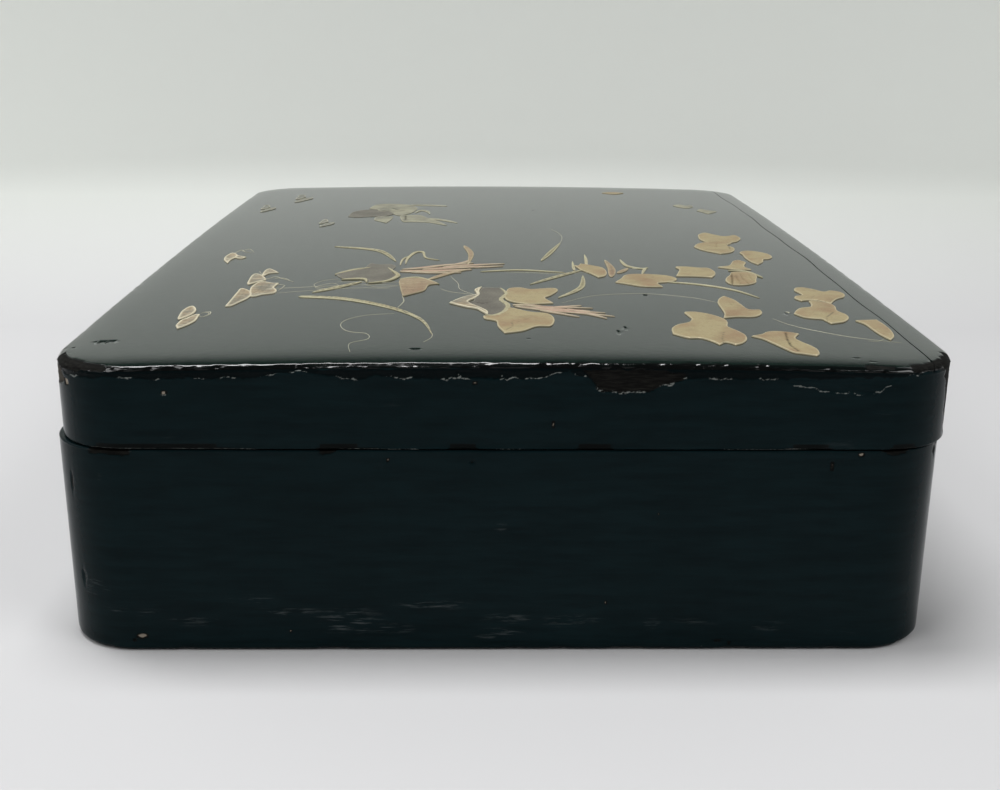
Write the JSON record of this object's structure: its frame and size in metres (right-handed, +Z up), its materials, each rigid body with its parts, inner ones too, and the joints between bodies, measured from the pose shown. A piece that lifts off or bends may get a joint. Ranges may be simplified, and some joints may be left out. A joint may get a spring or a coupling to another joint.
{
  "type": "lacquer box",
  "caption": "Low lacquered wood box with rounded corners and a flush, slightly domed lift-off lid that carries raised leaves, grass, flowers and butterflies.",
  "frame": {"origin": "centre of the box's outline, on the surface that it stands on", "axes": "+X across the box to the right, +Y back along its longer side, +Z up through the lid"},
  "size_m": [0.2714, 0.3816, 0.0945],
  "materials": {
    "black_lacquer": "thick glossy black lacquer over wood, worn and chipped along the edges",
    "gold_lacquer": "sprinkled gold on raised lacquer, matt to satin, rubbed",
    "pale_gold_lacquer": "pale greenish gold on raised lacquer, satin",
    "grey_lacquer": "dark pewter-grey raised lacquer, satin",
    "pink_lacquer": "salmon pink and gold raised lacquer, satin"
  },
  "bodies": {
    "root": {"base": "black_lacquer", "lid": "black_lacquer"}
  },
  "joints": []
}
